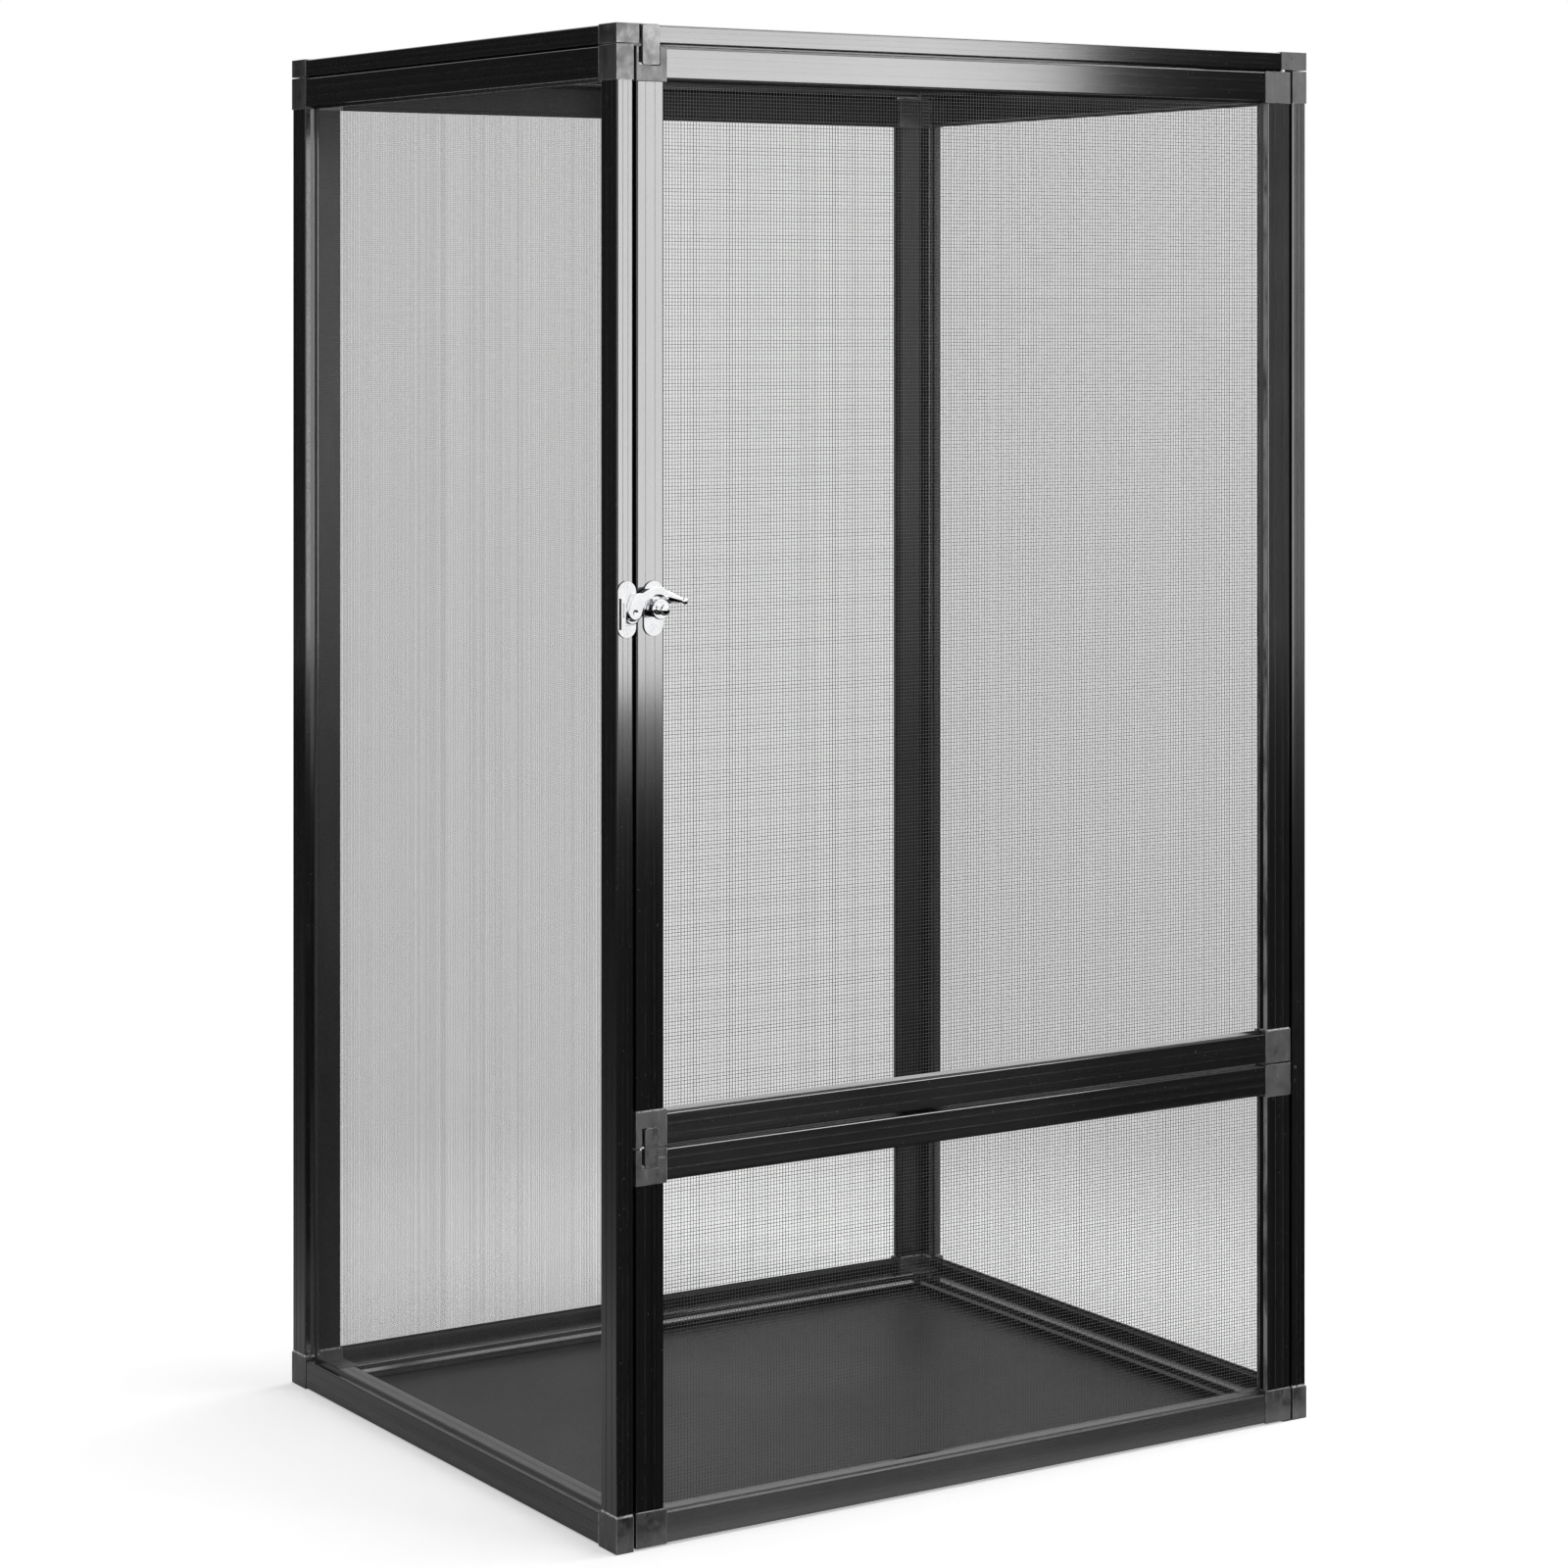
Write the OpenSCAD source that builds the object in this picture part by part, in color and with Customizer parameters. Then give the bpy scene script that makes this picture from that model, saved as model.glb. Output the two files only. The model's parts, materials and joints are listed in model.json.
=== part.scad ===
// Mesh reptile cage: framed panels of hollow bars and plastic corner connectors, two
// front doors on pivot pins, a turn latch and two slide catches. Sizes in millimetres.
// Origin: centre of the footprint on the floor. +X right, +Y back, +Z up; doors face -Y.

/* [Cage] */
// Overall width of the cage
cage_w = 600; // [450:1:900]
// Overall depth of the panels
cage_d = 500; // [350:1:900]
// Overall height of the cage
cage_h = 1026; // [850:1:1400]
// Height of the lower door
lower_door_h = 267.6; // [180:0.1:340]
// Thickness of the board under the floor frame
board_t = 3; // [2:0.5:6]

/* [Frame bars] */
// Width of a bar with its lip
frame_w = 24; // [23:0.5:30]
// Thickness of a framed panel
frame_t = 13.4; // [12.6:0.1:15]
// Wall of the hollow bar
bar_wall = 1.2; // [0.8:0.1:1.6]
// Radius of the bar's long edges
bar_edge_r = 1.2; // [0.3:0.1:1.4]
// Width of the lip in front of the mesh
lip_w = 2; // [1:0.5:3]
// Thickness of the lip at its root
lip_t = 2.6; // [1.6:0.1:2.8]
// Thickness of the lip at its tip
lip_tip = 0.6; // [0.4:0.1:1.2]
// Set-back of the lip behind the bar's face
lip_setback = 4.7; // [3.5:0.1:5.2]
// Width of the lines along a bar
line_w = 0.6; // [0.4:0.1:1.2]
// Depth of the lines along a bar
line_depth = 0.2; // [0.2:0.05:0.6]

/* [Connectors] */
// How far a connector stands proud of the bars
conn_proud = 0.5; // [0.2:0.1:0.8]
// Length of a connector's tongue inside a bar
tongue_l = 28; // [15:1:50]
// Clearance around a tongue
tongue_clear = 0.15; // [0.05:0.05:0.3]
// Length of the pegs that locate one panel on the next
peg_l = 6; // [3:0.5:8]
// Height of the pads that carry the top panel
top_seat = 0.8; // [0.4:0.1:1.5]

/* [Mesh] */
// Spacing that the strands of the net aim for
net_pitch = 84; // [80:1:150]
// Width of a strand
net_strand = 1.6; // [0.8:0.1:3]
// Thickness of the net
net_t = 0.6; // [0.4:0.1:0.8]
// Thickness of the rubber spline that grips the net
spline_t = 3; // [2:0.1:3.2]

/* [Doors] */
// Gap beside a door
door_gap = 2; // [1.6:0.1:4]
// Gap above the upper door
door_top_gap = 1.6; // [1:0.1:4]
// Gap between the doors' backs and the floor frame
floor_gap = 2; // [1.6:0.1:3]
// Hinge axis to the door's right edge
hinge_in = 5; // [4:0.1:6]
// Hinge axis to the door's front face
hinge_back = 3.5; // [3.2:0.1:4.5]
// Radius of a hinge pin
hinge_pin_r = 2; // [1.2:0.1:2.2]
// Length of a hinge pin inside its connector
hinge_pin_l = 10; // [6:0.5:11]
// Thickness of a hinge plate
hinge_plate_t = 0.8; // [0.6:0.1:2]
// Radius of a hinge plate's round end
hinge_eye_r = 3; // [2.6:0.1:3]
// Running gap above and below a hinge plate
hinge_gap = 0.3; // [0.2:0.05:0.6]

/* [Latch] */
// Height of the latch's pivot
latch_z = 632.5; // [450:0.5:750]
// Pivot to the upper door's left edge
latch_in = 13.2; // [11:0.1:14]
// Thickness of the latch's plates
latch_plate_t = 1.2; // [1:0.1:2]
// Width of the base plate
base_plate_w = 15; // [13.5:0.1:17]
// Height of the base plate
base_plate_h = 37; // [34:0.5:50]
// Width of the keeper plate
keeper_w = 14; // [12.5:0.1:14.4]
// Height of the keeper plate
keeper_h = 38; // [38:0.5:50]
// Radius of the spindle that the lever turns on
spindle_r = 2.5; // [1.5:0.1:3]
// Radius of the knob's flange
flange_r = 6.8; // [5:0.1:7.4]
// Height of the knob's ball above the door's face
knob_reach = 15.6; // [12:0.1:22]
// Radius of the knob's ball
knob_ball_r = 3.9; // [2.4:0.1:4.5]
// Reach of the claw from the pivot
claw_reach = 17.6; // [15:0.1:17.8]
// Width of the claw
claw_w = 10.4; // [7:0.1:10.6]
// Reach of the handle's ball from the pivot
handle_reach = 18.1; // [16:0.1:30]
// Radius of the handle's ball
handle_ball_r = 2.4; // [2:0.1:4]

/* [Catches] */
// Width of the upper catch
upper_catch_w = 13.4; // [9:0.1:15]
// Width of the lower catch
lower_catch_w = 10.2; // [8:0.1:12]
// Thickness of a catch's tab
catch_t = 2.2; // [1.6:0.1:3]
// How far a tab stands proud of its connector
catch_proud = 0.4; // [0:0.1:1]
// Free space beside a tab, where it slides
catch_gap = 2.6; // [1.6:0.1:3]
// Height of a tab above the joint line
catch_up = 12.8; // [11:0.1:12.8]
// Depth of a tab below the joint line
catch_down = 12.6; // [8:0.1:13]
// Clearance around a catch
catch_clear = 0.3; // [0.2:0.05:0.5]

/* [Hidden] */
$fn = 48;

// Finishes
bar_black = [0.07, 0.07, 0.075];
plastic_black = [0.14, 0.14, 0.145];
net_grey = [0.33, 0.34, 0.35];
rubber_black = [0.04, 0.04, 0.04];
board_black = [0.06, 0.06, 0.06];
bright_chrome = [0.86, 0.87, 0.89];
plain_steel = [0.6, 0.61, 0.63];

// Overrun of a cut past the faces that it opens
over = 1;
// Clearance of a piece that is pressed or screwed home
fit_clear = 0.02;
// Radial clearance of a piece that turns on a pin
run_clear = 0.05;

// Bar section: u runs from the panel's outer edge inwards, v from its front face to its back
face_u = frame_w - lip_w;
lip_v0 = conn_proud + lip_setback;
lip_v1 = lip_v0 + lip_t;
groove_depth_share = 0.8;
groove_u0 = face_u - groove_depth_share * spline_t;
groove_h = net_t + spline_t;
groove_v1 = lip_v1 + groove_h;
hollow_u0 = conn_proud + bar_wall;
hollow_u1 = groove_u0 - bar_wall;
hollow_v0 = conn_proud + bar_wall;
hollow_v1 = frame_t - bar_wall;
edge_steps = 4;
face_line_shares = [0.3, 0.64];
edge_line_shares = [0.33, 0.64];
bar_outline = concat(
    arc_points(conn_proud + bar_edge_r, conn_proud + bar_edge_r, bar_edge_r, 180),
    arc_points(face_u - bar_edge_r, conn_proud + bar_edge_r, bar_edge_r, 270),
    [[face_u, lip_v0], [frame_w, lip_v1 - lip_tip], [frame_w, lip_v1], [groove_u0, lip_v1]],
    [[groove_u0, groove_v1], [face_u, groove_v1]],
    arc_points(face_u - bar_edge_r, frame_t - bar_edge_r, bar_edge_r, 0),
    arc_points(conn_proud + bar_edge_r, frame_t - bar_edge_r, bar_edge_r, 90)
);

// Connector tongues fill the hollow but for their clearance
tongue_u0 = hollow_u0 + tongue_clear;
tongue_w = hollow_u1 - hollow_u0 - 2 * tongue_clear;
tongue_v0 = hollow_v0 + tongue_clear;
tongue_t = hollow_v1 - hollow_v0 - 2 * tongue_clear;

// Net and spline
spline_clear = 0.1;
net_in = groove_u0 + spline_clear;

// Panels
top_z = cage_h - frame_t;
side_h = top_z - top_seat;
pad_r = 5;
rib_w = 6;
rib_root = bar_wall / 2;
back_w = cage_w - 2 * frame_t;
floor_d = cage_d - 2 * frame_t - floor_gap;
floor_front_y = -cage_d / 2 + frame_t + floor_gap;
floor_top_z = board_t + frame_t;
door_w = back_w - 2 * door_gap;
lower_door_z = hinge_plate_t + hinge_gap;
middle_plate_z = lower_door_z + lower_door_h + hinge_gap;
upper_door_z = middle_plate_z + hinge_plate_t + hinge_gap;
upper_door_h = top_z - door_top_gap - upper_door_z;
rib_share = 0.76;
rib_drop = rib_share * door_top_gap;

// Pegs stand where two panels' corner connectors lie face to face
peg_share = 0.29;
peg_r = peg_share * (frame_w - frame_t - floor_gap);
floor_peg_front = (frame_w - frame_t - floor_gap) / 2;
floor_peg_back = (frame_w - frame_t) / 2;

// Hinge line, and the slot and flange that anchor the middle plate in its stile
hinge_x = door_w / 2 - hinge_in;
hinge_y = -cage_d / 2 + hinge_back;
post_x = cage_w / 2 - frame_t;
hinge_bore_r = hinge_pin_r + run_clear;
hinge_bore_l = hinge_pin_l + hinge_gap;
plate_front_y = -cage_d / 2 + hollow_u0 + run_clear;
plate_back_y = hinge_y + hinge_eye_r;
plate_tail = 8;
plate_flange_t = 1.4;
plate_flange_h = 9;
hinge_screw_drop = 4.5;
hinge_screw_in = 2.6;
anchor_in = 6;
anchor_l = 8;
anchor_tail = 9.4;

// Screws
small_head_r = 2.5;
small_head_h = 1.1;
small_shank_r = 1.4;
small_shank_l = 7;
hinge_head_r = 1.3;
hinge_head_h = 0.7;
hinge_shank_r = 0.9;
big_head_r = 3.6;
big_head_h = 2;
big_shank_r = 1.8;
screw_bite = 9;
top_screw_l = frame_t + top_seat + screw_bite;
floor_screw_l = board_t + screw_bite;
recess_w_share = 0.22;
recess_l_share = 1.1;
recess_depth_share = 0.45;

// Latch, with heights counted outwards from the bars' front face
face_y = -cage_d / 2 + conn_proud;
pivot_x = -door_w / 2 + latch_in;
keeper_in = 7.8;
keeper_x = -cage_w / 2 + keeper_in;
lever_gap = 0.3;
lever_h0 = latch_plate_t + lever_gap;
lever_t = 2.1;
lever_h1 = lever_h0 + lever_t;
hub_r_share = 0.85;
hub_r = hub_r_share * flange_r;
hub_h = 8.6;
flange_h0 = hub_h + lever_gap;
flange_t = 2.5;
neck_r = 2.6;
stem_l = 5;
rim_gap = 2.4;
rim_r0 = flange_r + rim_gap;
rim_w = 5.6;
rim_mid = rim_r0 + rim_w / 2;
rim_r1 = rim_r0 + rim_w;
rim_h = 7.2;
rim_from = 20;
rim_to = 130;
web_from = 40;
web_to = 115;
base_screw_pitch = 26.4;
keeper_screw_pitch = 30.6;
claw_r = claw_w / 2;
tip_shares = [-1, -0.114];
elbow_shares = [-0.83, 0.335];
claw_tip = claw_reach * tip_shares;
claw_elbow = claw_reach * elbow_shares;
claw_joint_at = 110;
claw_joint = rim_mid * [cos(claw_joint_at), sin(claw_joint_at)];
claw_link_share = 0.97;
claw_neck_share = 0.66;
jaw_drop = 2.9;
claw_jaw = claw_tip - [0, jaw_drop];
dimple_r = 1.5;
dimple_d = 0.8;
handle_from = 42;
handle_r0 = 4;
handle_r1 = 1.3;
handle_start = concat(rim_mid * [cos(handle_from), sin(handle_from)], [lever_h0 + handle_r0 + lever_gap]);
handle_shares = [1, 0.27, 0.66];
handle_end = handle_reach * handle_shares;
bridge_inset = 0.4;
bridge_left = keeper_w / 2 - bridge_inset;
bridge_clear = 1.2;
bridge_w = pivot_x - claw_reach - claw_r - bridge_clear - keeper_x + bridge_left;
bridge_up = 8;
hook_clear = 0.5;
hook_top = claw_jaw[1] - claw_r - hook_clear;
hook_h = 2.6;
hook_reach = 7;
hook_h0 = lever_h1 + lever_gap;
hook_t = 1.2;
slit_w = 1.2;
slit_share = 0.6;

// Catches, with heights counted from the lower edge of the connector that carries the tab
upper_catch_wall = 2.2;
lower_catch_wall = 4.4;
upper_catch_x = -door_w / 2 + upper_catch_wall;
lower_catch_x = -door_w / 2 + lower_catch_wall;
catch_back = catch_t - catch_proud;
catch_corner_r = 1.6;
catch_stop = 0.8;
catch_travel = catch_gap - catch_stop;
notch_d = catch_back + catch_clear;
gap_depth = 6;
tail_l = gap_depth - catch_stop;
ledge_clear = 0.5;
neck_in = 2;
neck_h = 5;
neck_l = 2.8;
head_h = 8.2;
head_t = 2.2;
thumb_w = 6;
thumb_h = 6.4;
thumb_d = 1;
top_catch_block = frame_t + door_gap + upper_catch_wall + catch_gap + upper_catch_w + catch_clear;
mid_gap = hinge_plate_t + 2 * hinge_gap;

function arc_points(cx, cy, r, from) =
    [for (i = [0 : edge_steps]) let (a = from + 90 * i / edge_steps) [cx + r * cos(a), cy + r * sin(a)]];

// Places: each panel is drawn with x across, y from its front face to its back and z up

module on_left() { translate([-cage_w / 2, cage_d / 2, 0]) rotate([0, 0, -90]) children(); }
module on_right() { mirror([1, 0, 0]) on_left() children(); }
module on_back() { translate([back_w / 2, cage_d / 2, 0]) rotate([0, 0, 180]) children(); }
module on_top() { translate([-cage_w / 2, -cage_d / 2, cage_h]) rotate([-90, 0, 0]) children(); }
module on_floor() { translate([-back_w / 2, floor_front_y, floor_top_z]) rotate([-90, 0, 0]) children(); }
module on_upper_door() { translate([-door_w / 2, -cage_d / 2, upper_door_z]) children(); }
module on_lower_door() { translate([-door_w / 2, -cage_d / 2, lower_door_z]) children(); }
module at_latch() { translate([pivot_x, face_y, latch_z]) rotate([90, 0, 0]) children(); }
module at_keeper() { translate([keeper_x, face_y, latch_z]) rotate([90, 0, 0]) children(); }
module at_upper_catch() { translate([upper_catch_x, -cage_d / 2, top_z]) children(); }
module at_lower_catch() { translate([lower_catch_x, -cage_d / 2, upper_door_z]) children(); }
module at_hinge(z) { translate([hinge_x, hinge_y, z]) children(); }

module flip_x(w) { translate([w, 0, 0]) mirror([1, 0, 0]) children(); }
module flip_z(h) { translate([0, 0, h]) mirror([0, 0, 1]) children(); }
module four_corners(w, h) {
    children();
    flip_x(w) children();
    flip_z(h) children();
    flip_x(w) flip_z(h) children();
}

// Shapes that repeat

module bar_section() {
    difference() {
        polygon(bar_outline);
        translate([hollow_u0, hollow_v0]) square([hollow_u1 - hollow_u0, hollow_v1 - hollow_v0]);
        for (share = face_line_shares)
            translate([conn_proud + share * (face_u - conn_proud), conn_proud - over])
                square([line_w, over + line_depth]);
        for (share = edge_line_shares)
            translate([conn_proud - over, conn_proud + share * (frame_t - conn_proud)])
                square([over + line_depth, line_w]);
    }
}

// Upright bar between two connectors, its outer edge at x = 0
module stile(h) {
    translate([0, 0, frame_w]) linear_extrude(h - 2 * frame_w) bar_section();
}

// Level bar between two connectors, its outer edge at z = 0
module rail(w, first_block = frame_w) {
    translate([w - frame_w, 0, 0]) rotate([0, -90, 0])
        linear_extrude(w - first_block - frame_w) bar_section();
}

// Top rail of an upright panel, with a rib that closes the joint under the top panel
module ribbed_rail(w) {
    flip_z(side_h) rail(w);
    translate([frame_w, (frame_t - rib_w) / 2, side_h - conn_proud - rib_root])
        cube([w - 2 * frame_w, rib_w, rib_root + conn_proud + top_seat - fit_clear]);
}

// Corner block with a tongue for each of the two bars that meet there
module connector(block_w = frame_w) {
    difference() {
        cube([block_w, frame_t, frame_w]);
        translate([groove_u0, lip_v1, groove_u0])
            cube([block_w - groove_u0 + over, groove_h, frame_w - groove_u0 + over]);
    }
    translate([block_w - over, tongue_v0, tongue_u0]) cube([tongue_l + over, tongue_t, tongue_w]);
    translate([tongue_u0, tongue_v0, frame_w - over]) cube([tongue_w, tongue_t, tongue_l + over]);
}

// Corner block with the peg that locates its panel between the side panels
module pegged_connector(peg_y, peg_z) {
    connector();
    translate([-peg_l, peg_y, peg_z]) rotate([0, 90, 0]) cylinder(r = peg_r, h = peg_l + over);
}

module net(w, h) {
    span_w = w - 2 * frame_w;
    span_h = h - 2 * frame_w;
    cols = max(1, round(span_w / net_pitch));
    rows = max(1, round(span_h / net_pitch));
    hole_w = (span_w - (cols - 1) * net_strand) / cols;
    hole_h = (span_h - (rows - 1) * net_strand) / rows;
    translate([0, lip_v1 + net_t, 0]) rotate([90, 0, 0]) linear_extrude(net_t) difference() {
        translate([net_in, net_in]) square([w - 2 * net_in, h - 2 * net_in]);
        for (i = [0 : cols - 1], j = [0 : rows - 1])
            translate([frame_w + i * (hole_w + net_strand), frame_w + j * (hole_h + net_strand)])
                square([hole_w, hole_h]);
    }
}

module spline(w, h) {
    inner = net_in + spline_t;
    translate([0, groove_v1 - spline_clear, 0]) rotate([90, 0, 0])
        linear_extrude(spline_t - spline_clear) difference() {
            translate([net_in, net_in]) square([w - 2 * net_in, h - 2 * net_in]);
            translate([inner, inner]) square([w - 2 * inner, h - 2 * inner]);
        }
}

// Countersunk screw pointing down from z = 0, with a cross recess in its head
module sunk_screw(head_r, head_h, shank_r, shank_l) {
    difference() {
        union() {
            translate([0, 0, -head_h]) cylinder(r1 = shank_r, r2 = head_r, h = head_h);
            translate([0, 0, -shank_l]) cylinder(r = shank_r, h = shank_l - head_h + fit_clear);
        }
        cross_recess(head_r);
    }
}

module cross_recess(head_r) {
    w = recess_w_share * head_r;
    l = recess_l_share * head_r;
    depth = recess_depth_share * head_r;
    for (turn = [0, 90]) rotate(turn) translate([-l / 2, -w / 2, -depth]) cube([l, w, depth + over]);
}

// Countersink and hole that the screw above sits in
module screw_hole(head_r, head_h, shank_r, shank_l) {
    translate([0, 0, -head_h]) cylinder(r1 = shank_r + fit_clear, r2 = head_r + fit_clear, h = head_h);
    translate([0, 0, -shank_l - fit_clear]) cylinder(r = shank_r + fit_clear, h = shank_l + over);
    cylinder(r = head_r + fit_clear, h = over);
}

module small_screw() { sunk_screw(small_head_r, small_head_h, small_shank_r, small_shank_l); }
module small_screw_hole() { screw_hole(small_head_r, small_head_h, small_shank_r, small_shank_l); }
module pair(pitch) { for (s = [-1, 1]) translate([0, s * pitch / 2, 0]) children(); }

module stadium(w, h) {
    square([w, h - w], center = true);
    for (s = [-1, 1]) translate([0, s * (h - w) / 2]) circle(w / 2);
}

module hinge_bore() { translate([0, 0, -over]) cylinder(r = hinge_bore_r, h = hinge_bore_l + over); }

// Left and right side panels, full depth, with pads under the top panel

module side_front_stile() { flip_x(cage_d) stile(side_h); }
module side_rails() {
    rail(cage_d);
    ribbed_rail(cage_d);
}
module side_connectors() {
    difference() {
        union() {
            four_corners(cage_d, side_h) connector();
            for (x = [frame_w / 2, cage_d - frame_w / 2])
                translate([x, frame_t / 2, side_h - over]) cylinder(r = pad_r, h = over + top_seat);
        }
        for (z = [frame_w / 2, side_h - frame_w / 2]) peg_hole(frame_t / 2, z);
        peg_hole(frame_t + floor_peg_back, floor_top_z - frame_t / 2);
        peg_hole(cage_d - frame_t - floor_gap - floor_peg_front, floor_top_z - frame_t / 2);
        for (x = [frame_w / 2, cage_d - frame_w / 2])
            translate([x, frame_t / 2, cage_h]) screw_hole(big_head_r, big_head_h, big_shank_r, top_screw_l);
    }
}
module peg_hole(x, z) {
    translate([x, frame_t + over, z]) rotate([90, 0, 0])
        cylinder(r = peg_r + fit_clear, h = peg_l + fit_clear + over);
}

module left_front_stile() {
    color(bar_black) difference() {
        on_left() side_front_stile();
        at_keeper() pair(keeper_screw_pitch) translate([0, 0, latch_plate_t]) small_screw_hole();
    }
}
module left_back_stile() { color(bar_black) on_left() stile(side_h); }
module left_rails() { color(bar_black) on_left() side_rails(); }
module left_connectors() { color(plastic_black) on_left() side_connectors(); }
module left_mesh() { color(net_grey) on_left() net(cage_d, side_h); }
module left_spline() { color(rubber_black) on_left() spline(cage_d, side_h); }

module right_front_stile() {
    color(bar_black) difference() {
        on_right() side_front_stile();
        translate([post_x - over, plate_front_y - run_clear, middle_plate_z - run_clear])
            cube([bar_wall + 2 * over, plate_back_y - plate_front_y + 2 * run_clear,
                hinge_plate_t + 2 * run_clear]);
        at_hinge_screw() translate([0, 0, -bar_wall - over])
            cylinder(r = hinge_shank_r + fit_clear, h = bar_wall + 2 * over);
    }
}
module right_back_stile() { color(bar_black) on_right() stile(side_h); }
module right_rails() { color(bar_black) on_right() side_rails(); }
module right_connectors() {
    color(plastic_black) difference() {
        on_right() side_connectors();
        translate([post_x - over, -cage_d / 2 - over, -over])
            cube([over + anchor_tail + fit_clear, over + plate_back_y + cage_d / 2 + fit_clear,
                over + hinge_plate_t + fit_clear]);
        translate([post_x + anchor_in, hinge_y, 0])
            cylinder(r = hinge_pin_r + fit_clear, h = hinge_plate_t + anchor_l + fit_clear);
    }
}
module right_mesh() { color(net_grey) on_right() net(cage_d, side_h); }
module right_spline() { color(rubber_black) on_right() spline(cage_d, side_h); }

// Back panel, pegged between the side panels

module back_stiles() {
    color(bar_black) on_back() {
        stile(side_h);
        flip_x(back_w) stile(side_h);
    }
}
module back_rails() {
    color(bar_black) on_back() {
        rail(back_w);
        ribbed_rail(back_w);
    }
}
module back_connectors() {
    color(plastic_black) on_back()
        four_corners(back_w, side_h) pegged_connector(frame_t / 2, frame_w / 2);
}
module back_mesh() { color(net_grey) on_back() net(back_w, side_h); }
module back_spline() { color(rubber_black) on_back() spline(back_w, side_h); }

// Top panel, carried on the side panels' pads

// The front rail's rib shuts most of the gap above the upper door
module top_front_rail() {
    start = -cage_w / 2 + top_catch_block;
    color(bar_black) {
        on_top() rail(cage_w, top_catch_block);
        translate([start, -cage_d / 2 + (frame_t - rib_w) / 2, top_z - rib_drop])
            cube([cage_w / 2 - frame_w - rib_w - start, rib_w, rib_drop + rib_root]);
    }
}
module top_back_rail() { color(bar_black) on_top() flip_z(cage_d) rail(cage_w); }
module top_side_rails() {
    color(bar_black) on_top() {
        stile(cage_d);
        flip_x(cage_w) stile(cage_d);
    }
}
module top_catch_connector() {
    color(plastic_black) difference() {
        on_top() connector(top_catch_block);
        top_screw_holes();
        at_upper_catch() catch_track(upper_catch_w, frame_t + over);
    }
}
module top_connectors() {
    color(plastic_black) difference() {
        on_top() {
            flip_x(cage_w) connector();
            flip_z(cage_d) connector();
            flip_x(cage_w) flip_z(cage_d) connector();
        }
        top_screw_holes();
        at_hinge(top_z - over)
            cylinder(r = hinge_pin_r + fit_clear, h = over + hinge_pin_l + fit_clear);
    }
}
module top_screw_places() {
    for (sx = [-1, 1], sy = [-1, 1])
        translate([sx * (cage_w - frame_t) / 2, sy * (cage_d - frame_w) / 2, cage_h]) children();
}
module top_screw_holes() {
    top_screw_places() screw_hole(big_head_r, big_head_h, big_shank_r, top_screw_l);
}
module top_mesh() { color(net_grey) on_top() net(cage_w, cage_d); }
module top_spline() { color(rubber_black) on_top() spline(cage_w, cage_d); }
module top_screws() {
    color(plain_steel) top_screw_places() sunk_screw(big_head_r, big_head_h, big_shank_r, top_screw_l);
}

// Floor panel: a frame on a board, pegged between the side panels

module floor_cross_bars() {
    color(bar_black) on_floor() {
        rail(back_w);
        flip_z(floor_d) rail(back_w);
    }
}
module floor_side_bars() {
    color(bar_black) on_floor() {
        stile(floor_d);
        flip_x(back_w) stile(floor_d);
    }
}
module floor_connectors() {
    color(plastic_black) difference() {
        on_floor() {
            pegged_connector(frame_t / 2, floor_peg_front);
            flip_x(back_w) pegged_connector(frame_t / 2, floor_peg_front);
            flip_z(floor_d) pegged_connector(frame_t / 2, floor_peg_back);
            flip_x(back_w) flip_z(floor_d) pegged_connector(frame_t / 2, floor_peg_back);
        }
        floor_screw_places() screw_hole(big_head_r, big_head_h, big_shank_r, floor_screw_l);
    }
}
module floor_board() {
    color(board_black) difference() {
        translate([-back_w / 2, floor_front_y, 0]) cube([back_w, floor_d, board_t]);
        floor_screw_places() screw_hole(big_head_r, big_head_h, big_shank_r, floor_screw_l);
    }
}
module floor_screw_places() {
    for (sx = [-1, 1], y = [frame_w / 2, floor_d - frame_w / 2])
        translate([sx * (back_w - frame_w) / 2, floor_front_y + y, 0]) mirror([0, 0, 1]) children();
}
module floor_screws() {
    color(plain_steel) floor_screw_places()
        sunk_screw(big_head_r, big_head_h, big_shank_r, floor_screw_l);
}

// Upper door

module upper_latch_stile() {
    color(bar_black) difference() {
        on_upper_door() stile(upper_door_h);
        at_latch() {
            translate([0, 0, -stem_l - over]) cylinder(r = spindle_r + fit_clear, h = stem_l + 2 * over);
            pair(base_screw_pitch) translate([0, 0, latch_plate_t]) small_screw_hole();
        }
    }
}
module upper_hinge_stile() { color(bar_black) on_upper_door() flip_x(door_w) stile(upper_door_h); }
module upper_top_rail() { color(bar_black) on_upper_door() flip_z(upper_door_h) rail(door_w); }
module upper_bottom_rail() { color(bar_black) on_upper_door() rail(door_w); }
module upper_catch_socket() {
    color(plastic_black) difference() {
        on_upper_door() flip_z(upper_door_h) connector();
        at_upper_catch() catch_opening(upper_catch_w, door_top_gap);
    }
}
module upper_catch_carrier() {
    color(plastic_black) difference() {
        on_upper_door() connector();
        at_lower_catch() catch_track(lower_catch_w, catch_up + catch_clear);
    }
}
module upper_hinge_connectors() {
    color(plastic_black) difference() {
        on_upper_door() flip_x(door_w) {
            connector();
            flip_z(upper_door_h) connector();
        }
        at_hinge(upper_door_z) hinge_bore();
        at_hinge(upper_door_z + upper_door_h) mirror([0, 0, 1]) hinge_bore();
    }
}
module upper_mesh() { color(net_grey) on_upper_door() net(door_w, upper_door_h); }
module upper_spline() { color(rubber_black) on_upper_door() spline(door_w, upper_door_h); }

// Lower door

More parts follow.
